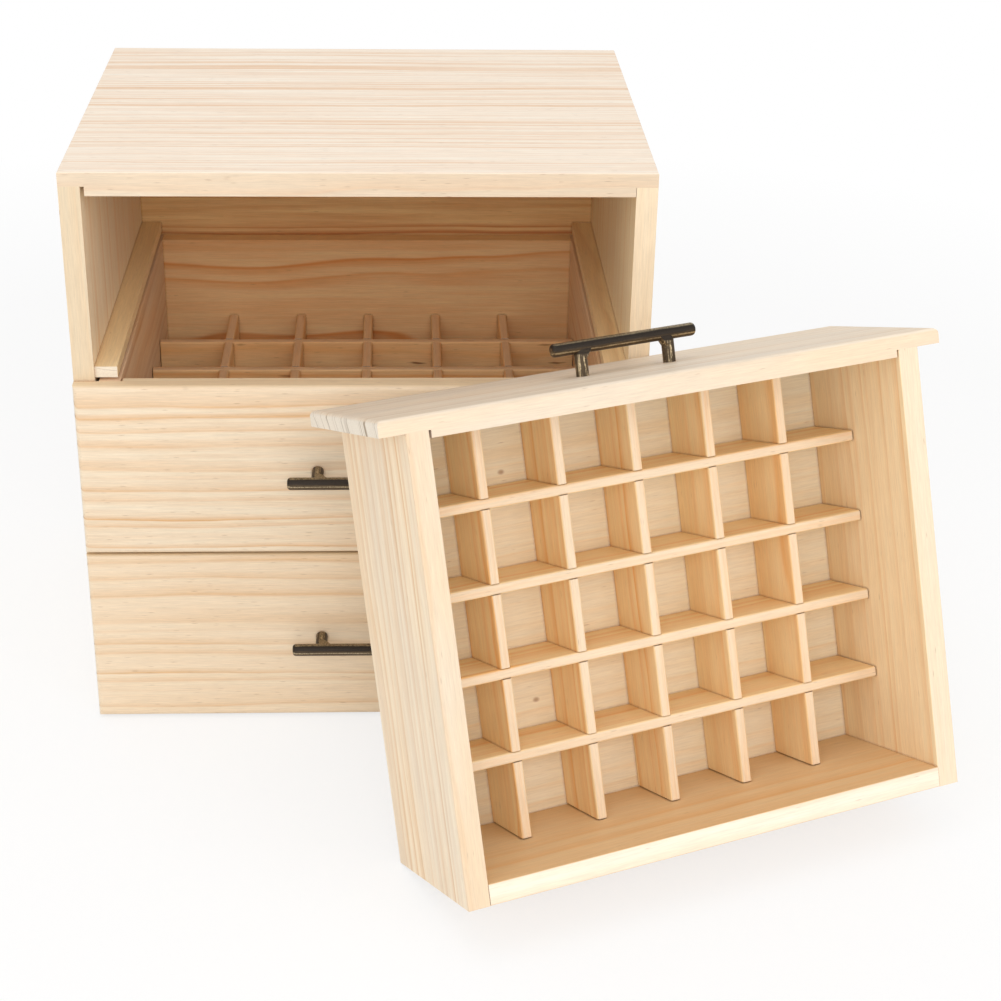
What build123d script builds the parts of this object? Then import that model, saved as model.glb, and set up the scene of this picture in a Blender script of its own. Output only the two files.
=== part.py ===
from build123d import *
from math import copysign, cos, radians, sin, tan
import os

# A chest of three drawers in bare pine, for bottles of essential oil. Each drawer holds a lattice
# of half-lapped dividers, thirty cells in all, below an open space for the bottles' necks. The
# top drawer is taken out. It stands on its rear panel in front of the chest, turned a little to
# the right, with its opening to the front, and leans back on the edge of the chest's right side.
# The other two are closed.
# Frame: millimetres, +Z up, origin at the middle of the chest's base. The drawers open toward -Y.

# Chest
chest_width = 280.0
chest_depth = 223.0
chest_height = 294.5
side_thickness = 10.2
top_thickness = 11.6
top_lip_thickness = 7.0       # what is left of the top where it lies on a side
top_gap_left = 2.0            # the thick part of the top falls this much short of the left side
top_gap_right = 0.2
back_thickness = 11.0
base_board_thickness = 10.6
top_edge_radius = 0.8

# Runners, which carry the upper and the middle drawer at both ends
runner_width = 11.1
runner_thickness = 5.6
runner_rim_gap = 1.4          # above the rim of the drawer below
runner_setback = 1.5          # from the front edge of the sides
slide_gap = 0.2               # between a drawer and the runners or the base board under it

# Fronts, one above the other. The lowest is taller, because it hides the base board.
front_gap = 1.2               # between two fronts
front_floor_gap = 1.0         # below the lowest front
rim_to_top_gap = 0.8          # above the upper drawer, below the top
front_lap_thickness = 7.2     # the part that covers the front edges of the sides
front_tongue_thickness = 3.4  # the part that fits between the drawer's own sides
front_tongue_gap = 1.0        # at each end of the tongue
front_edge_radius = 2.5

# Drawer bodies
drawer_side_gap = 1.8         # between a drawer's side and the chest's side
drawer_back_gap = 1.5
drawer_side_thickness = 10.6
drawer_rear_thickness = 9.8
drawer_bottom_thickness = 5.0
drawer_edge_radius = 0.6

# Lattice in each drawer
cell_columns = 6
cell_rows = 5
divider_thickness = 5.0
divider_height = 35.0
divider_end_gap = 0.5
divider_slot_gap = 0.1        # on each side of a divider in the slot of another
divider_top_radius = 1.2

# Handle: a round bar on two round posts, cast in one
handle_length = 74.0
handle_post_spacing = 45.0
handle_bar_diameter = 6.2
handle_post_diameter = 6.0
handle_projection = 16.6      # from the face of the front to the outside of the bar
handle_end_radius = 1.8
handle_flare_reach = 3.0      # beyond the side of a post, at the bar's axis
handle_flare_height = 2.5     # from the underside of the bar to the plain post

# Screws that hold a handle, put in from inside the drawer
screw_diameter = 3.0
screw_hole_diameter = 3.4
screw_depth_in_post = 7.0
screw_tip_gap = 0.5
screw_head_diameter = 5.8
screw_head_height = 2.0
screw_head_radius = 0.6

# The upper drawer, leaning on the front of the chest
leaning_yaw = 21.6            # degrees, seen from above
leaning_back = 20.1           # degrees from upright
leaning_right = 110.0         # from the middle of the chest to the middle of the drawer
leaning_gap = 0.5             # between it and what it leans on

# Places worked out from the sizes above
front_y = -chest_depth / 2
back_inner_y = chest_depth / 2 - back_thickness
half_width = chest_width / 2
half_inside = half_width - side_thickness
top_underside = chest_height - top_thickness
side_top = chest_height - top_lip_thickness
lowest_bottom = base_board_thickness + slide_gap
tier_step = runner_rim_gap + runner_thickness + slide_gap
body_height = (top_underside - rim_to_top_gap - lowest_bottom - 2 * tier_step) / 3
tier_pitch = body_height + tier_step
lowest_drop = lowest_bottom - front_floor_gap
front_drop = tier_step - front_gap
half_drawer = half_inside - drawer_side_gap
half_drawer_inside = half_drawer - drawer_side_thickness
drawer_length = back_inner_y - front_y - drawer_back_gap
rear_inner = drawer_length - drawer_rear_thickness
divider_top = drawer_bottom_thickness + divider_height
column_pitch = 2 * half_drawer_inside / cell_columns
row_pitch = (rear_inner - front_tongue_thickness) / cell_rows
half_divider = divider_thickness / 2
half_slot = half_divider + divider_slot_gap
slot_middle = drawer_bottom_thickness + divider_height / 2
bar_axis = -front_lap_thickness - handle_projection + handle_bar_diameter / 2
screw_tip = -front_lap_thickness - screw_depth_in_post
leaning_height = drawer_length * cos(radians(leaning_back))
middle_rim = lowest_bottom + tier_pitch + body_height


def board(x, y, z):
    """A plain board between a low and a high value along each axis."""
    spans = (x, y, z)
    size = [high - low for low, high in spans]
    middle = [(low + high) / 2 for low, high in spans]
    return Pos(*middle) * Box(*size)


def rod_along_y(x, z, start, end, diameter):
    """A round rod along Y at a place in X and Z."""
    length = end - start
    return Pos(x, (start + end) / 2, z) * Rot(90, 0, 0) * Cylinder(diameter / 2, length)


# Chest

def chest_side(sign):
    """A side with upright grain. Its top carries the lip of the top panel."""
    x = sorted((sign * half_inside, sign * half_width))
    return board(x, (front_y, -front_y), (0, side_top))


def top_panel():
    """The top. Its ends are rabbeted, so that a lip lies on each side."""
    whole = board((-half_width, half_width), (front_y, -front_y), (side_top, chest_height))
    upper_edges = whole.faces().sort_by(Axis.Z)[-1].edges()
    thick_x = (-half_inside + top_gap_left, half_inside - top_gap_right)
    thick = board(thick_x, (front_y, -front_y), (top_underside, side_top))
    return fillet(upper_edges, top_edge_radius) + thick


def back_panel():
    """The back, between the sides and below the top."""
    y = (back_inner_y, -front_y)
    return board((-half_inside, half_inside), y, (0, top_underside))


def base_board():
    """The thin board that ties the sides together and carries the lowest drawer."""
    y = (front_y + runner_setback, back_inner_y)
    return board((-half_inside, half_inside), y, (0, base_board_thickness))


def runner(sign, tier):
    """A strip glued to a side, which carries one end of the drawer of a tier."""
    top = lowest_bottom + tier * tier_pitch - slide_gap
    x = sorted((sign * (half_inside - runner_width), sign * half_inside))
    return board(x, (front_y + runner_setback, back_inner_y), (top - runner_thickness, top))


# Drawer, in its own frame: X across, Y from the back of the front's lap to the rear, Z up from
# the bottom of the sides. The front reaches below the sides by its drop.

def post_places():
    """Where the handle's posts are, across the front."""
    return (-handle_post_spacing / 2, handle_post_spacing / 2)


def handle_height(drop):
    """The height of the handle, at the middle of the front."""
    return (body_height - drop) / 2


def screw_holes(drop):
    """The two holes for the handle's screws, through the front."""
    ends = (-front_lap_thickness, front_tongue_thickness)
    height = handle_height(drop)
    holes = [rod_along_y(x, height, *ends, screw_hole_diameter) for x in post_places()]
    return holes[0] + holes[1]


def front_panel(drop):
    """The front: a wide board with rounded edges, rabbeted behind to fit between the sides."""
    y = (-front_lap_thickness, 0)
    lap = board((-half_width, half_width), y, (-drop, body_height))
    lap = fillet(lap.faces().sort_by(Axis.Y)[0].edges(), front_edge_radius)
    half_tongue = half_drawer_inside - front_tongue_gap
    tongue_y = (0, front_tongue_thickness)
    tongue = board((-half_tongue, half_tongue), tongue_y, (0, body_height))
    return lap + tongue - screw_holes(drop)


def drawer_side(sign):
    """A side, as long as the drawer."""
    x = sorted((sign * half_drawer_inside, sign * half_drawer))
    plain = board(x, (0, drawer_length), (0, body_height))
    rim_edges = plain.faces().sort_by(Axis.Z)[-1].edges().filter_by(Axis.Y)
    return fillet(rim_edges, drawer_edge_radius)


def rear_panel():
    """The rear panel, between the sides."""
    x = (-half_drawer_inside, half_drawer_inside)
    plain = board(x, (rear_inner, drawer_length), (0, body_height))
    rim_edges = plain.faces().sort_by(Axis.Z)[-1].edges().filter_by(Axis.X)
    return fillet(rim_edges, drawer_edge_radius)


def bottom_panel():
    """The drawer's floor, nailed between the front, the sides and the rear panel."""
    x = (-half_drawer_inside, half_drawer_inside)
    return board(x, (front_tongue_thickness, rear_inner), (0, drawer_bottom_thickness))


def column_places():
    """Where the cross dividers stand, from left to right."""
    return [(i - cell_columns / 2) * column_pitch for i in range(1, cell_columns)]


def row_places():
    """Where the long dividers stand, from the front to the rear."""
    return [front_tongue_thickness + i * row_pitch for i in range(1, cell_rows)]


def rounded_top(divider, axis):
    """A divider with the two long edges of its top rounded over."""
    top_edges = divider.faces().sort_by(Axis.Z)[-1].edges().filter_by(axis)
    return fillet(top_edges, divider_top_radius)


def long_divider(y):
    """A divider along X, with a slot up from below at each cross divider."""
    end = half_drawer_inside - divider_end_gap
    thickness = (y - half_divider, y + half_divider)
    plain = board((-end, end), thickness, (drawer_bottom_thickness, divider_top))
    divider = rounded_top(plain, Axis.X)
    for x in column_places():
        slot_x = (x - half_slot, x + half_slot)
        slot_y = (y - divider_thickness, y + divider_thickness)
        divider -= board(slot_x, slot_y, (drawer_bottom_thickness, slot_middle))
    return divider


def cross_divider(x):
    """A divider along Y, with a slot down from the top at each long divider."""
    y = (front_tongue_thickness + divider_end_gap, rear_inner - divider_end_gap)
    thickness = (x - half_divider, x + half_divider)
    plain = board(thickness, y, (drawer_bottom_thickness, divider_top))
    divider = rounded_top(plain, Axis.Y)
    for row in row_places():
        slot_x = (x - divider_thickness, x + divider_thickness)
        slot_y = (row - half_slot, row + half_slot)
        divider -= board(slot_x, slot_y, (slot_middle, divider_top))
    return divider


def flare(x, height):
    """The cast web on the inner side of a post under the bar, no thicker than the post."""
    start = bar_axis + handle_bar_diameter / 2 + handle_flare_height
    length = start - bar_axis
    half_post = handle_post_diameter / 2
    reach = half_post + handle_flare_reach
    cone = Pos(x, (start + bar_axis) / 2, height) * Rot(90, 0, 0) * Cone(half_post, reach, length)
    inner = x - copysign(reach, x)
    slab = board(sorted((x, inner)), (bar_axis, start), (height - half_post, height + half_post))
    return cone & slab


def handle(height):
    """The bar and its two posts, with a blind hole in each post for a screw."""
    bar = Pos(0, bar_axis, height) * Rot(0, 90, 0) * Cylinder(handle_bar_diameter / 2, handle_length)
    bar = fillet(bar.edges().filter_by(GeomType.CIRCLE), handle_end_radius)
    hole_end = screw_tip - screw_tip_gap
    for x in post_places():
        bar += rod_along_y(x, height, bar_axis, -front_lap_thickness, handle_post_diameter)
        bar += flare(x, height)
    for x in post_places():
        bar -= rod_along_y(x, height, hole_end, -front_lap_thickness, screw_diameter)
    return bar


def screw(x, height):
    """One of the handle's screws, with its head on the inside of the front."""
    shank = rod_along_y(x, height, screw_tip, front_tongue_thickness, screw_diameter)
    head_end = front_tongue_thickness + screw_head_height
    head = rod_along_y(x, height, front_tongue_thickness, head_end, screw_head_diameter)
    outer_edge = head.edges().sort_by(Axis.Y)[-1]
    return shank + fillet(outer_edge, screw_head_radius)


def drawer_pieces(drop):
    """Every piece of one drawer by name, in the drawer's own frame."""
    height = handle_height(drop)
    pieces = {
        "front_panel": front_panel(drop),
        "left_side": drawer_side(-1),
        "right_side": drawer_side(1),
        "rear_panel": rear_panel(),
        "bottom_panel": bottom_panel(),
        "handle": handle(height),
        "handle_screws": Compound(children=[screw(x, height) for x in post_places()]),
    }
    for number, y in enumerate(row_places(), start=1):
        pieces[f"long_divider_{number}"] = long_divider(y)
    for number, x in enumerate(column_places(), start=1):
        pieces[f"cross_divider_{number}"] = cross_divider(x)
    return pieces


def closed(tier):
    """Where a closed drawer is, counted from the lowest tier."""
    return Pos(0, front_y, lowest_bottom + tier * tier_pitch)


def lap_reach():
    """How far the leaning drawer's front sticks out behind the line that its frame starts from."""
    lean = radians(leaning_back)
    below = (front_drop - front_edge_radius) * cos(lean)
    above = (front_lap_thickness - front_edge_radius) * sin(lean)
    return below + above + front_edge_radius


def reach_back(height):
    """How far the leaning drawer reaches back at a height: its front, or its bottom below that."""
    lean = radians(leaning_back)
    if height > leaning_height - front_drop * sin(lean):
        return lap_reach()
    return (height - leaning_height) * tan(lean)


def clear_of(y, height):
    """Where the leaning drawer's frame starts, to clear a front edge on the right of the chest."""
    yaw = radians(leaning_yaw)
    turn = (half_width - leaning_right) * tan(yaw)
    return y - turn - (reach_back(height) + leaning_gap) / cos(yaw)


def leaning():
    """Where the upper drawer leans: rear panel down, opening to the front."""
    behind_side = clear_of(front_y, side_top)
    behind_middle_front = clear_of(front_y - front_lap_thickness, middle_rim)
    place = Pos(leaning_right, min(behind_side, behind_middle_front), leaning_height)
    return place * Rot(0, 0, 180 + leaning_yaw) * Rot(leaning_back, 0, 0) * Rot(-90, 0, 0)


def chest_pieces():
    """Every fixed piece of the chest by name."""
    pieces = {
        "top_panel": top_panel(),
        "left_side": chest_side(-1),
        "right_side": chest_side(1),
        "back_panel": back_panel(),
        "base_board": base_board(),
    }
    for tier, name in ((1, "middle"), (2, "upper")):
        pieces[f"{name}_left_runner"] = runner(-1, tier)
        pieces[f"{name}_right_runner"] = runner(1, tier)
    return pieces


os.makedirs("parts", exist_ok=True)

for name, shape in chest_pieces().items():
    export_step(shape, f"parts/chest_{name}.step")

drawers = {
    "lower": (closed(0), lowest_drop),
    "middle": (closed(1), front_drop),
    "upper": (leaning(), front_drop),
}
for drawer, (place, drop) in drawers.items():
    for name, shape in drawer_pieces(drop).items():
        export_step(place * shape, f"parts/{drawer}_drawer_{name}.step")
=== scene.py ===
from math import radians
from random import Random
from zlib import crc32

import bpy
from mathutils import Matrix, Vector


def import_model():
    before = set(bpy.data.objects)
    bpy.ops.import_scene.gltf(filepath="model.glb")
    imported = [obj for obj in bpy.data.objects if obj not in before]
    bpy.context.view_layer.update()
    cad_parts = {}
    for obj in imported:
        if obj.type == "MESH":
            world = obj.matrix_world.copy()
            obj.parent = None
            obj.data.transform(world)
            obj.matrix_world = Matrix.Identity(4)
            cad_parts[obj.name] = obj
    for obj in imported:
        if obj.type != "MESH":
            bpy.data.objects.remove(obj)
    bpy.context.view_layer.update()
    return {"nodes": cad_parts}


# Looks of a pine chest of drawers whose upper drawer leans on its front. Metres, +Z up, in the
# frame of the CAD model. Coordinates inside the materials are in centimetres.

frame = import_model()

cm_per_metre = 100.0
ALONG_X, ALONG_Y, ALONG_Z = range(3)

# The curve between the values of a screen and linear light
screen_levels = 255
screen_bend = 0.04045
screen_slope = 12.92
screen_offset = 0.055
screen_power = 2.4


def colour(red, green, blue):
    """A colour as a screen shows it, 0 to 255, as the linear values that Blender takes."""
    def linear(value):
        value = value / screen_levels
        if value <= screen_bend:
            return value / screen_slope
        return ((value + screen_offset) / (1 + screen_offset)) ** screen_power
    return (linear(red), linear(green), linear(blue), 1.0)


# Camera
camera_place = (0.01829, -1.03176, 0.59236)
camera_yaw = -2.711
camera_pitch = 27.394
camera_roll = 0.985
camera_clip = 0.01
focal_pixels = 2049.5
picture_pixels = 1001
picture_middle_x = 486.63
picture_middle_y = 515.21
sensor_width = 36.0

# Pose of the upper drawer, which the grain of its boards follows
leaning_yaw = 21.6
leaning_back = 20.1

# Edges of the boards
edge_bevel = 0.00025
edge_segments = 2
edge_angle = 40.0

# Light. Each lamp is a square that faces a point.
white = (1.0, 1.0, 1.0, 1.0)
world_strength = 0.72
object_middle = (0.05, -0.1, 0.15)
chest_top = (0.0, 0.0, 0.29)
lamps = {
    "front": dict(place=(0.0, -2.2, 1.1), target=object_middle, size=1.2, power=11.5),
    "left": dict(place=(-1.7, -1.6, 1.2), target=object_middle, size=1.2, power=4.5),
    "right": dict(place=(1.7, -1.6, 1.2), target=object_middle, size=1.2, power=9.0),
    "top": dict(place=(-0.3, -0.5, 2.2), target=chest_top, size=1.4, power=6.5),
}

# Floor, whose shadow is seen near the chest and fades out further away
floor_radius = 6.0
floor_sides = 96
floor_drop = 0.0001
floor_colour = colour(250, 250, 250)
floor_roughness = 0.9
shadow_reach = 0.55
shadow_fade = 0.9
shadow_share = 0.3

# Noises. Along and across say how many spots lie in a centimetre along and across the grain, and
# scales say it for each axis.
bend_noise = dict(along=0.06, across=0.2)
ripple_noise = dict(along=0.3, across=0.9)
patch_noise = dict(along=0.07, across=0.5)
fibre_noise = dict(along=0.7, across=15.0, detail=4.0, roughness=0.75)
streak_noise = dict(along=0.12, across=3.2, detail=3.0, roughness=0.55)
cloud_noise = dict(along=0.09, across=0.35)
grit_noise = dict(along=14.0, across=22.0, detail=4.0, roughness=0.7)
bar_noise = dict(along=0.7, across=9.0, detail=3.0, roughness=0.6)
post_noise = dict(detail=3.0, roughness=0.7)
post_scales = (11.0, 0.7, 11.0)
scratch_noise = dict(along=4.0, across=60.0, detail=3.0, roughness=0.6)
noise_middle = (0.5, 0.5, 0.5)
across_grain = (0.0, 1.0, 1.0)

# Growth rings. Reaches are in centimetres, and uneven_rings is in rings.
ripple_reach = (0.0, 0.1, 0.1)
uneven_scale = 0.5
uneven_detail = 1.0
uneven_rings = 2.4
ring_profile = ((0.0, 0.12), (0.1, 0.0), (0.3, 0.05), (0.66, 0.5), (0.84, 0.85), (1.0, 0.12))
pith_shares = (0.7, 1.0)
seed_reach = 50

# Marks. Dashes and resin are lines along the grain, and knots go through the board. Places and
# scales are in spots per centimetre, and the wave is in centimetres.
dash_places = dict(along=0.9, across=9.0)
resin_places = dict(along=0.3, across=2.2)
resin_wave = (0.0, 0.25, 0.25)
knot_scales = (0.16, 0.22, 0.0)
dash_tone = colour(140, 92, 50)
dash_share = 0.5
resin_tone = colour(122, 60, 26)
resin_share = 0.9
knot_tone = colour(150, 98, 52)
knot_share = 0.6

# Painted shade: a thin brown line in each joint and crease, where surfaces meet
crease_shade_tone = colour(140, 78, 38)
crease_shade_reach = 0.0012

# Ramps: from where to where the value that comes in counts, and what comes out at each end, which
# is 0 and 1 where only two numbers stand
whole = (0.0, 1.0)
ring_strengths = (*whole, 0.2, 1.2)
patch_strengths = (0.3, 0.7, 0.5, 1.2)
dash_inside = (0.06, 0.2, 1.0, 0.0)
dash_depths = (*whole, 0.25, 1.0)
knot_inside = (0.012, 0.034, 1.0, 0.0)
facing_ramp = (0.7, 0.9)
streak_shares = (0.3, 0.7, 0.0, 0.3)
cloud_shares = (0.35, 0.7)
end_rings = (0.22, 0.6)
fibre_shades = (0.25, 0.75, 0.86, 1.08)
crease_shade_shares = (0.5, 0.8, 0.7, 0.0)

# Other tones and shares of the wood
greyed_wood = colour(226, 216, 202)
greyed_share = 0.6
end_light = colour(236, 227, 212)
end_dark = colour(152, 136, 116)
end_share = 0.8
edge_pale_share = 0.5

# Surface of the wood
wood_roughness = 0.46
fibre_roughness = 0.14
end_roughness = 0.15
band_height = 0.1
fibre_height = 0.6
dash_height = 0.6
wood_bump = dict(Strength=0.5, Distance=0.00012)
wood_specular = 0.35

# Bronze. Up is how far the surface faces upwards, 1 on top and -1 below. The blend between the bar
# and its posts is in centimetres.
# Painted reflection: the dark patina lies on the faces that look up, where the bar reflects dark
# surroundings, and lighter bronze on those that look down. Pale painted highlights lie along the bar a
# little below its middle height, along its top and in streaks on the posts.
bronze_bright = colour(98, 84, 67)
bronze_patina_and_reflection = colour(54, 48, 43)
bronze_highlight = colour(206, 186, 150)
bronze_pits = colour(30, 26, 23)
post_blend = 0.05
patina_and_reflection_lines = 0.5
patina_and_reflection_up = (0.2, 0.6)
patina_and_reflection_post = (*whole, 1.0, 0.5)
lower_reflection_up = 0.12
lower_reflection_lines = -0.5
lower_reflection_band = (-0.25, -0.1, 1.0, 0.0)
crown_lines = 0.14
crown_up = (0.95, 1.02)
crown_share = 0.5
post_streaks = (0.52, 0.6)
highlight_grit = (0.4, 0.54, 0.2, 1.0)
pit_grit = (0.3, 0.45, 0.7, 0.0)
bronze_roughness = (*whole, 0.45, 0.28)
bronze_bump = dict(Strength=0.6, Distance=0.0002)

# Steel
steel_dark = colour(150, 150, 148)
steel_light = colour(200, 200, 198)
steel_roughness = (0.3, 0.7, 0.25, 0.45)

# Looks of the boards. Rings and depth are ranges in centimetres: the width of a ring, and how far
# the middle of the log lies from the board. Pith is how far it lies to one side, in board widths.
usual = dict(wave=0.7, dashes=0.1, resin=0.0, knots=0.0, grey=0.0)
cream = colour(251, 235, 207)
tan = colour(226, 180, 126)
divider = dict(
    light=colour(255, 229, 182), edge=colour(243, 220, 190), dark=colour(243, 184, 112),
    contrast=0.9, rings=(0.5, 0.8), depth=(3.0, 8.0))
# Edge wood colours a board's long edges: partly the sawn edges' own darker tone, partly painted shade that
# tones down edges the lamps light strongly, which is why the chest's left side has a darker edge than its
# right side.
looks = {
    "top_panel": dict(
        grain=ALONG_X, light=colour(253, 241, 224), edge=colour(231, 213, 188),
        dark=colour(230, 184, 140), contrast=1.0, rings=(0.5, 0.55), depth=(9.0, 10.0), dashes=0.35),
    "chest_left_side": dict(
        grain=ALONG_Z, light=colour(255, 238, 208), edge=colour(227, 208, 178),
        dark=colour(240, 192, 136), contrast=0.8, rings=(0.4, 0.5), depth=(4.0, 7.0)),
    "chest_right_side": dict(
        grain=ALONG_Z, light=colour(255, 238, 200), edge=colour(246, 226, 196),
        dark=colour(236, 188, 122), contrast=0.8, rings=(0.4, 0.5), depth=(4.0, 7.0)),
    "back_panel": dict(
        grain=ALONG_X, light=colour(255, 227, 172), dark=colour(212, 142, 84), contrast=1.6,
        rings=(0.6, 0.8), depth=(4.0, 6.0), knots=0.1),
    "runner": dict(
        grain=ALONG_Y, light=colour(255, 236, 196), dark=tan, contrast=0.5, rings=(0.4, 0.6),
        depth=(5.0, 8.0)),
    "base_board": dict(
        grain=ALONG_X, light=cream, dark=tan, contrast=0.7, rings=(0.5, 0.7), depth=(4.0, 8.0)),
    "upper_drawer_front_panel": dict(
        grain=ALONG_X, light=colour(247, 231, 209), edge=colour(242, 218, 188),
        dark=colour(216, 182, 142), contrast=0.9, rings=(0.3, 0.4), depth=(3.5, 5.0), dashes=0.2,
        grey=0.9),
    "lower_drawer_front_panel": dict(
        grain=ALONG_X, light=colour(241, 222, 195), edge=colour(236, 214, 180),
        dark=colour(219, 170, 112), contrast=0.7, rings=(0.8, 1.0), depth=(3.5, 5.0), dashes=0.5,
        knots=0.06),
    "front_panel": dict(
        grain=ALONG_X, light=colour(241, 225, 200), edge=colour(236, 214, 180),
        dark=colour(219, 166, 106), contrast=0.85, rings=(0.6, 0.8), depth=(3.5, 5.0), dashes=0.5,
        knots=0.06),
    "upper_drawer_left_side": dict(
        grain=ALONG_Y, light=colour(255, 233, 194), edge=colour(244, 224, 196),
        dark=colour(238, 190, 130), contrast=0.7, rings=(0.55, 0.75), depth=(4.0, 8.0)),
    "drawer_side": dict(
        grain=ALONG_Y, light=colour(251, 234, 206), edge=colour(240, 216, 184),
        dark=colour(224, 180, 130), contrast=1.1, rings=(0.5, 0.7), depth=(4.0, 8.0), grey=0.7),
    "upper_drawer_rear_panel": dict(
        grain=ALONG_X, light=colour(234, 204, 160), edge=colour(254, 241, 220),
        dark=colour(228, 176, 116), contrast=0.9, rings=(0.8, 1.2), depth=(3.0, 5.0), pith=0.2),
    "rear_panel": dict(
        grain=ALONG_X, light=colour(255, 232, 186), dark=colour(232, 160, 90), contrast=1.1,
        rings=(1.0, 1.3), depth=(2.0, 3.5), pith=0.3, wave=3.0),
    "bottom_panel": dict(
        grain=ALONG_X, light=colour(255, 246, 222), dark=colour(250, 216, 164), contrast=0.45,
        rings=(0.8, 1.1), depth=(5.0, 9.0), knots=0.25),
    "long_divider": divider | dict(grain=ALONG_X, dashes=0.4, resin=0.02),
    "cross_divider": divider | dict(grain=ALONG_Y, dashes=0.2),
}

# Painted shade: the boards inside the chest get redder, darker copies of their colours, which stand in for
# the warm shade in there. The long dividers inside also carry more resin.
faint_shade_red = (1.0, 0.92, 0.82, 1.0)
middle_shade_red = (1.0, 0.89, 0.79, 1.0)
deep_shade_red = (1.0, 0.83, 0.68, 1.0)
inner_shade_reddening = {
    "runner": faint_shade_red,
    "back_panel": faint_shade_red,
    "rear_panel": middle_shade_red,
    "long_divider": middle_shade_red,
    "cross_divider": middle_shade_red,
    "drawer_side": deep_shade_red,
}
inner_divider_resin = 0.5


class Graph:
    """A short way to write a node tree. Values may be numbers or the sockets of other nodes."""

    def __init__(self, tree):
        self.tree = tree

    def feed(self, socket, value):
        if isinstance(value, bpy.types.NodeSocket):
            self.tree.links.new(value, socket)
        else:
            socket.default_value = value

    def node(self, kind, values=(), **settings):
        made = self.tree.nodes.new(kind)
        for name, value in settings.items():
            setattr(made, name, value)
        for socket, value in dict(values).items():
            self.feed(made.inputs[socket], value)
        return made

    def math(self, operation, *values, clamp=False):
        values = dict(enumerate(values))
        return self.node("ShaderNodeMath", values, operation=operation, use_clamp=clamp).outputs[0]

    def product(self, *values):
        return self.math("MULTIPLY", *values)

    def vector(self, operation, *values):
        made = self.node("ShaderNodeVectorMath", dict(enumerate(values)), operation=operation)
        return made.outputs[1 if operation == "LENGTH" else 0]

    def scaled(self, vector, scale):
        made = self.node("ShaderNodeVectorMath", {0: vector, "Scale": scale}, operation="SCALE")
        return made.outputs[0]

    def centimetres(self, vector):
        return self.vector("MULTIPLY", vector, [cm_per_metre] * 3)

    def parts(self, vector):
        return self.node("ShaderNodeSeparateXYZ", {0: vector}).outputs

    def stretched(self, vector, along, across):
        return self.vector("MULTIPLY", vector, (along, across, across))

    def noise(self, vector, detail=2.0, roughness=0.5):
        values = {"Vector": vector, "Scale": 1.0, "Detail": detail, "Roughness": roughness}
        return self.node("ShaderNodeTexNoise", values).outputs

    def long_noise(self, vector, along, across, **more):
        """A noise drawn out along X: its value and its colour."""
        return self.noise(self.stretched(vector, along, across), **more)

    def limits(self, value, low, high, to_low=0.0, to_high=1.0):
        values = {0: value, 1: low, 2: high, 3: to_low, 4: to_high}
        return self.node("ShaderNodeMapRange", values).outputs[0]

    def curve(self, value, stops):
        """A grey ramp through (position, value) stops."""
        made = self.node("ShaderNodeValToRGB", {0: value})
        ramp = made.color_ramp
        ramp.interpolation = "EASE"
        while len(ramp.elements) < len(stops):
            ramp.elements.new(0.5)
        for element, (position, level) in zip(ramp.elements, stops):
            element.position = position
            element.color = (level, level, level, 1.0)
        return made.outputs[0]

    def mix(self, factor, first, second, blend="MIX"):
        values = {0: factor, 6: first, 7: second}
        made = self.node("ShaderNodeMix", values, data_type="RGBA", blend_type=blend)
        return made.outputs[2]

    def grey(self, level):
        return self.node("ShaderNodeCombineColor", {0: level, 1: level, 2: level}).outputs[0]

    def bump(self, height, values):
        return self.node("ShaderNodeBump", {"Height": height} | values).outputs[0]

    def reordered(self, vector, order):
        parts = self.parts(vector)
        values = {i: parts[axis] for i, axis in enumerate(order)}
        return self.node("ShaderNodeCombineXYZ", values).outputs[0]

    def in_board(self, name, axes, **more):
        """The place or the direction of the surface, in the axes of a board."""
        values = {"Vector": self.node("ShaderNodeTexCoord").outputs[name], "Rotation": axes.to_euler()}
        return self.node("ShaderNodeMapping", values | more, vector_type="TEXTURE").outputs[0]


def new_material(name):
    """An empty material, its graph, its shader and its output."""
    material = bpy.data.materials.new(name)
    material.use_nodes = True
    graph = Graph(material.node_tree)
    material.node_tree.nodes.clear()
    shader = graph.node("ShaderNodeBsdfPrincipled")
    output = graph.node("ShaderNodeOutputMaterial", {"Surface": shader.outputs[0]})
    return material, graph, shader, output


def axes_of(node):
    """The frame that a node's boards are square to."""
    if not node.startswith("upper_drawer"):
        return Matrix.Identity(3)
    turn = Matrix.Rotation(radians(180 + leaning_yaw), 3, "Z")
    lean = Matrix.Rotation(radians(leaning_back - 90), 3, "X")
    return turn @ lean


def board_of(node, axes):
    """The middle and the size of a board in its own axes."""
    back = axes.transposed()
    corners = [back @ vertex.co for vertex in frame["nodes"][node].data.vertices]
    low = Vector([min(corner[i] for corner in corners) for i in range(3)])
    high = Vector([max(corner[i] for corner in corners) for i in range(3)])
    return (low + high) / 2, high - low


# Pine

def shifted(graph, place, domain, pith, wave):
    """The place as seen from the pith, bent in slow waves and rippled."""
    bend = graph.vector("SUBTRACT", graph.long_noise(domain, **bend_noise)[1], noise_middle)
    ripple = graph.vector("SUBTRACT", graph.long_noise(domain, **ripple_noise)[1], noise_middle)
    ripple = graph.vector("MULTIPLY", ripple, ripple_reach)
    moved = graph.vector("ADD", graph.scaled(bend, wave), ripple)
    return graph.vector("ADD", graph.vector("ADD", place, pith), moved)


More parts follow.
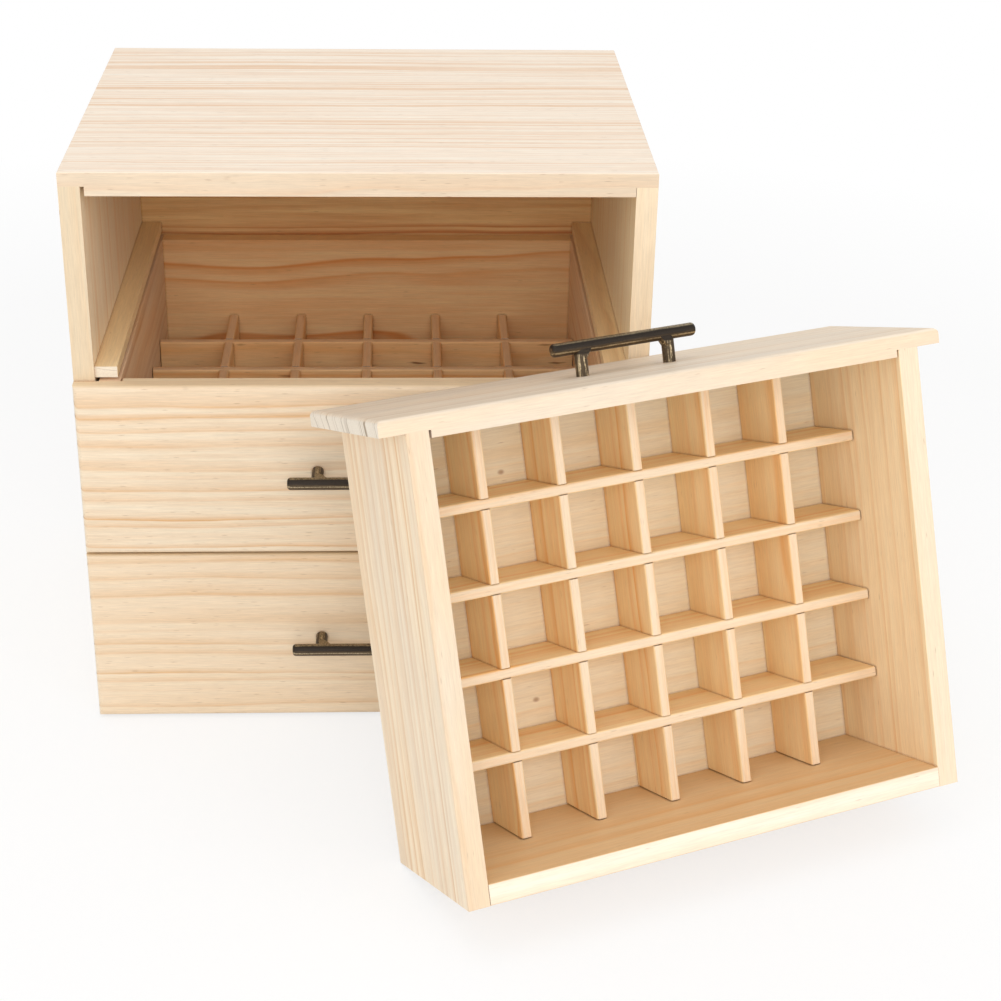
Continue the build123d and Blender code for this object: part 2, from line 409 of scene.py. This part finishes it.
def ring_band(graph, place, domain, pith, ring_width, wave):
    """The dark part of the growth rings, 0 to 1, by the distance from the pith."""
    bent = shifted(graph, place, domain, pith, wave)
    radius = graph.vector("LENGTH", graph.vector("MULTIPLY", bent, across_grain))
    rings = graph.math("DIVIDE", radius, ring_width)
    uneven = {"W": rings, "Scale": uneven_scale, "Detail": uneven_detail}
    uneven = graph.node("ShaderNodeTexNoise", uneven, noise_dimensions="1D").outputs[0]
    rings = graph.math("MULTIPLY_ADD", uneven, uneven_rings, rings)
    profile = graph.curve(graph.math("FRACT", rings), ring_profile)
    ring = {"W": graph.math("FLOOR", rings)}
    each = graph.node("ShaderNodeTexWhiteNoise", ring, noise_dimensions="1D").outputs[0]
    patches = graph.long_noise(domain, **patch_noise)[0]
    strength = graph.product(graph.limits(each, *ring_strengths), graph.limits(patches, *patch_strengths))
    return graph.product(profile, strength)


def scattered(graph, vector, share, inside, dimensions="3D"):
    """Spots at random places, 0 to 1, and two random numbers for each. Share is how many exist."""
    values = {"Vector": vector, "Scale": 1.0}
    places = graph.node("ShaderNodeTexVoronoi", values, voronoi_dimensions=dimensions).outputs
    chances = graph.node("ShaderNodeSeparateColor", {0: places["Color"]}).outputs
    chosen = graph.math("LESS_THAN", chances[0], share)
    return graph.product(graph.limits(places["Distance"], *inside), chosen), chances


def dark_dashes(graph, domain, places, share):
    """Short thin resin lines along the grain, 0 to 1, each with a darkness of its own."""
    spots, chances = scattered(graph, graph.stretched(domain, **places), share, dash_inside)
    return graph.product(spots, graph.limits(chances[1], *dash_depths))


def small_knots(graph, domain, share):
    """Small round knots that go through the board, 0 to 1."""
    flat = graph.vector("MULTIPLY", domain, knot_scales)
    return scattered(graph, flat, share, knot_inside, "2D")[0]


def clear_wood(graph, domain, given, band, fibre, ends, edge):
    """The colour of the wood without its marks."""
    rings = graph.math("MULTIPLY", band, given["Contrast"], clamp=True)
    # Edge wood: the sawn edges' own tone, with painted shade on edges that the lamps light strongly.
    light = graph.mix(edge, given["Light wood"], given["Edge wood"])
    dark = graph.mix(graph.product(edge, edge_pale_share), given["Dark wood"], light)
    tone = graph.mix(rings, light, dark)
    streak = graph.limits(graph.long_noise(domain, **streak_noise)[0], *streak_shares)
    tone = graph.mix(graph.product(streak, given["Contrast"]), tone, dark)
    cloud = graph.limits(graph.long_noise(domain, **cloud_noise)[0], *cloud_shares)
    tone = graph.mix(graph.product(cloud, given["Grey"]), tone, graph.mix(greyed_share, tone, greyed_wood))
    end_tone = graph.mix(graph.limits(rings, *end_rings), end_light, end_dark)
    tone = graph.mix(graph.product(ends, end_share), tone, end_tone)
    return graph.mix(1.0, tone, graph.grey(graph.limits(fibre, *fibre_shades)), "MULTIPLY")


def marked_wood(graph, domain, given, tone, dash):
    """The colour of the wood with resin, dashes and knots, and painted shade: a thin brown line along its
    joints and creases.
    """
    wave = graph.vector("MULTIPLY", graph.noise(domain)[1], resin_wave)
    resin = dark_dashes(graph, graph.vector("ADD", domain, wave), resin_places, given["Resin"])
    knot = small_knots(graph, domain, given["Knots"])
    tone = graph.mix(graph.product(resin, resin_share), tone, resin_tone)
    tone = graph.mix(graph.product(dash, dash_share), tone, dash_tone)
    tone = graph.mix(graph.product(knot, knot_share), tone, knot_tone)
    # Painted shade: ambient occlusion darkens the wood within a little more than a millimetre of another
    # surface.
    near = graph.node("ShaderNodeAmbientOcclusion", {"Distance": crease_shade_reach}, samples=1).outputs["AO"]
    return graph.mix(graph.limits(near, *crease_shade_shares), tone, crease_shade_tone)


def wood_surface(graph, band, fibre, dash, ends):
    """The roughness and the height of the wood."""
    rough = graph.math("MULTIPLY_ADD", fibre, fibre_roughness, wood_roughness)
    rough = graph.math("MULTIPLY_ADD", ends, end_roughness, rough)
    height = graph.math("MULTIPLY_ADD", band, band_height, graph.product(fibre, fibre_height))
    return rough, graph.math("SUBTRACT", height, graph.product(dash, dash_height))


def group_sockets(tree):
    """What goes into the wood, and what comes out."""
    inputs = {
        "Vector": ("Board", "Facing", "Seed", "Pith"),
        "Float": ("Ring width", "Wave", "Contrast", "Dashes", "Resin", "Knots", "Grey"),
        "Color": ("Light wood", "Edge wood", "Dark wood"),
    }
    outputs = {"Color": ("Color",), "Float": ("Roughness", "Height")}
    for side, kinds in (("INPUT", inputs), ("OUTPUT", outputs)):
        for kind, names in kinds.items():
            for name in names:
                tree.interface.new_socket(name, in_out=side, socket_type="NodeSocket" + kind)


def pine_group():
    """The wood itself, for a board whose length, width and thickness lie along X, Y and Z."""
    tree = bpy.data.node_groups.new("pine_wood", "ShaderNodeTree")
    group_sockets(tree)
    graph = Graph(tree)
    given = graph.node("NodeGroupInput").outputs
    place = graph.centimetres(given["Board"])
    domain = graph.vector("ADD", place, given["Seed"])
    facing = graph.parts(given["Facing"])
    ends, edge = (graph.limits(graph.math("ABSOLUTE", facing[i]), *facing_ramp) for i in range(2))

    band = ring_band(graph, place, domain, given["Pith"], given["Ring width"], given["Wave"])
    fibre = graph.long_noise(domain, **fibre_noise)[0]
    dash = dark_dashes(graph, domain, dash_places, given["Dashes"])
    tone = clear_wood(graph, domain, given, band, fibre, ends, edge)
    tone = marked_wood(graph, domain, given, tone, dash)
    rough, height = wood_surface(graph, band, fibre, dash, ends)
    graph.node("NodeGroupOutput", {"Color": tone, "Roughness": rough, "Height": height})
    return tree


def cut(node, look, width):
    """Where in a log a board comes from, as values of the wood. The width is the board's."""
    chance = Random(crc32(node.encode()))
    side = chance.choice((-1, 1))
    sideways = cm_per_metre * width * look.get("pith", side * chance.uniform(*pith_shares))
    return {
        "Pith": (0.0, sideways, chance.choice((-1, 1)) * chance.uniform(*look["depth"])),
        "Seed": [chance.uniform(-seed_reach, seed_reach) for _ in range(3)],
        "Ring width": chance.uniform(*look["rings"]),
    }


def board_order(size, grain):
    """The axes of a board: along the grain, then the wider and the narrower of the others."""
    others = sorted((i for i in range(3) if i != grain), key=lambda i: -size[i])
    return (grain, *others)


def pine(node, look):
    """Pine for one board, cut from its own place in a log."""
    axes = axes_of(node)
    middle, size = board_of(node, axes)
    order = board_order(size, look["grain"])
    material, graph, shader, _ = new_material("pine_" + node)
    place = graph.in_board("Object", axes, Location=axes @ middle)
    values = {
        "Board": graph.reordered(place, order),
        "Facing": graph.reordered(graph.in_board("Normal", axes), order),
        "Light wood": look["light"],
        "Edge wood": look.get("edge", look["light"]),
        "Dark wood": look["dark"],
    }
    values |= {name.capitalize(): look[name] for name in ("contrast", *usual)}
    values |= cut(node, look, size[order[1]])
    wood = graph.node("ShaderNodeGroup", values, node_tree=wood_tree)
    graph.feed(shader.inputs["Base Color"], wood.outputs["Color"])
    graph.feed(shader.inputs["Roughness"], wood.outputs["Roughness"])
    graph.feed(shader.inputs["Normal"], graph.bump(wood.outputs["Height"], wood_bump))
    shader.inputs["Specular IOR Level"].default_value = wood_specular
    return material


def look_of(node):
    """The look of a wooden node."""
    role = next((role for role in looks if role in node), "drawer_side")
    look = usual | looks[role]
    # Painted shade: the colours of boards inside the chest are reddened, while those of the leaning upper
    # drawer, out in the light, are not.
    if role not in inner_shade_reddening or node.startswith("upper_drawer"):
        return look
    if role == "long_divider":
        look["resin"] = inner_divider_resin
    for name in ("light", "edge", "dark"):
        if name in look:
            look[name] = tuple(level * share for level, share in zip(look[name], inner_shade_reddening[role]))
    return look


# Metal

def bar_and_post(graph, place, size):
    """Where the handle's posts are, 0 to 1, and the lines along its bar and its posts."""
    bar_end = cm_per_metre * (size[2] - size[1] / 2)
    post = graph.limits(graph.parts(place)[1], bar_end, bar_end + post_blend)
    post_lines = graph.noise(graph.vector("MULTIPLY", place, post_scales), **post_noise)[0]
    return post, graph.mix(post, graph.long_noise(place, **bar_noise)[0], post_lines)


def bronze_highlights(graph, up, lines, post):
    """Where the painted highlights lie, 0 to 1: a painted reflection along the bar a little below its
    middle height, a highlight along its top and streaks on its posts.
    """
    lower_reflection = graph.math("ABSOLUTE", graph.math("ADD", up, lower_reflection_up))
    lower_reflection = graph.limits(graph.math("MULTIPLY_ADD", lines, lower_reflection_lines, lower_reflection), *lower_reflection_band)
    crown = graph.limits(graph.math("MULTIPLY_ADD", lines, crown_lines, up), *crown_up)
    streaks = graph.product(graph.limits(lines, *post_streaks), post)
    highlight = graph.math("MAXIMUM", lower_reflection, streaks)
    return graph.math("MAXIMUM", highlight, graph.product(crown, crown_share))


def bronze(node):
    """Cast bronze with a dark patina, laid on the faces that look up as painted dark reflection, and
    painted highlights in thin lines along the bar and the posts.
    """
    material, graph, shader, _ = new_material("antique_bronze_" + node)
    axes = axes_of(node)
    middle, size = board_of(node, axes)
    place = graph.centimetres(graph.in_board("Object", axes, Location=axes @ middle))
    grit = graph.long_noise(place, **grit_noise)[0]
    post, lines = bar_and_post(graph, place, size)
    up = graph.parts(graph.node("ShaderNodeTexCoord").outputs["Normal"])[2]
    patina_and_reflection = graph.limits(graph.math("MULTIPLY_ADD", lines, patina_and_reflection_lines, up), *patina_and_reflection_up)
    patina_and_reflection = graph.product(patina_and_reflection, graph.limits(post, *patina_and_reflection_post))
    highlight = graph.product(bronze_highlights(graph, up, lines, post), graph.limits(grit, *highlight_grit))
    # Painted reflection: dark where the faces look up, lighter bronze where they look down, and pale
    # painted highlights over both.
    tone = graph.mix(patina_and_reflection, bronze_bright, bronze_patina_and_reflection)
    tone = graph.mix(highlight, tone, bronze_highlight)
    tone = graph.mix(graph.limits(grit, *pit_grit), tone, bronze_pits)
    graph.feed(shader.inputs["Base Color"], tone)
    graph.feed(shader.inputs["Roughness"], graph.limits(highlight, *bronze_roughness))
    graph.feed(shader.inputs["Normal"], graph.bump(grit, bronze_bump))
    shader.inputs["Metallic"].default_value = 1.0
    return material


def steel():
    """Zinc-plated steel with fine scratches."""
    material, graph, shader, _ = new_material("steel")
    place = graph.centimetres(graph.node("ShaderNodeTexCoord").outputs["Object"])
    scratch = graph.long_noise(place, **scratch_noise)[0]
    graph.feed(shader.inputs["Base Color"], graph.mix(scratch, steel_dark, steel_light))
    graph.feed(shader.inputs["Roughness"], graph.limits(scratch, *steel_roughness))
    shader.inputs["Metallic"].default_value = 1.0
    return material


def dress(node, material):
    """Gives a CAD node its material, and a board its slightly worn edges."""
    piece = frame["nodes"][node]
    for slot in piece.material_slots:
        slot.material = material
    if "handle" in node:
        return
    bevel = piece.modifiers.new("worn_edges", "BEVEL")
    bevel.width = edge_bevel
    bevel.segments = edge_segments
    bevel.limit_method = "ANGLE"
    bevel.angle_limit = radians(edge_angle)


# Surroundings

def seen_or_reflected(graph):
    """1 for what the camera sees, also in a mirror or through glass, and 0 for the light itself."""
    path = graph.node("ShaderNodeLightPath").outputs
    seen = graph.math("MAXIMUM", path["Is Camera Ray"], path["Is Glossy Ray"])
    return graph.math("MAXIMUM", seen, path["Is Transmission Ray"])


def floor():
    """A wide pale floor that shows as the white background and keeps the chest's shadow."""
    bpy.ops.mesh.primitive_circle_add(
        vertices=floor_sides, radius=floor_radius, fill_type="NGON", location=(0, 0, -floor_drop))
    ground = bpy.context.object
    ground.name = "floor"
    material, graph, shader, output = new_material("pale_floor")
    shader.inputs["Base Color"].default_value = floor_colour
    shader.inputs["Roughness"].default_value = floor_roughness
    glow = graph.node("ShaderNodeEmission", {"Color": white, "Strength": 1.0})
    away = graph.vector("LENGTH", graph.node("ShaderNodeTexCoord").outputs["Object"])
    near = graph.limits(away, shadow_reach, shadow_fade, shadow_share, 0.0)
    plain = graph.product(seen_or_reflected(graph), graph.math("SUBTRACT", 1.0, near))
    values = {0: graph.math("SUBTRACT", 1.0, plain), 1: glow.outputs[0], 2: shader.outputs[0]}
    graph.feed(output.inputs["Surface"], graph.node("ShaderNodeMixShader", values).outputs[0])
    ground.data.materials.append(material)


def world():
    """Even white light all round, and plain white where it is seen or reflected."""
    made = bpy.data.worlds.new("studio")
    bpy.context.scene.world = made
    made.use_nodes = True
    made.node_tree.nodes.clear()
    graph = Graph(made.node_tree)
    strength = graph.limits(seen_or_reflected(graph), *whole, world_strength, 1.0)
    background = graph.node("ShaderNodeBackground", {"Color": white, "Strength": strength})
    graph.node("ShaderNodeOutputWorld", {"Surface": background.outputs[0]})


def lamp(name, place, target, size, power):
    """A square soft light that faces a point."""
    light = bpy.data.lights.new(name, "AREA")
    light.size = size
    light.energy = power
    holder = bpy.data.objects.new(name, light)
    holder.location = place
    holder.rotation_euler = (Vector(target) - Vector(place)).to_track_quat("-Z", "Y").to_euler()
    bpy.context.scene.collection.objects.link(holder)


def camera():
    """The camera at the photograph's place and angle."""
    made = bpy.data.cameras.new("camera")
    made.sensor_width = sensor_width
    made.lens = focal_pixels / picture_pixels * sensor_width
    made.shift_x = (picture_pixels / 2 - picture_middle_x) / picture_pixels
    made.shift_y = (picture_middle_y - picture_pixels / 2) / picture_pixels
    made.clip_start = camera_clip
    holder = bpy.data.objects.new("camera", made)
    yaw = Matrix.Rotation(radians(camera_yaw), 4, "Z")
    pitch = Matrix.Rotation(radians(90 - camera_pitch), 4, "X")
    roll = Matrix.Rotation(radians(camera_roll), 4, "Z")
    holder.matrix_world = Matrix.Translation(camera_place) @ yaw @ pitch @ roll
    bpy.context.scene.collection.objects.link(holder)
    bpy.context.scene.camera = holder


camera()
floor()
world()
for name, values in lamps.items():
    lamp(name, **values)
bpy.context.scene.view_settings.view_transform = "Standard"

wood_tree = pine_group()
steel_metal = steel()
for node in frame["nodes"]:
    if node.endswith("_handle"):
        dress(node, bronze(node))
    elif node.endswith("_screws"):
        dress(node, steel_metal)
    else:
        dress(node, pine(node, look_of(node)))
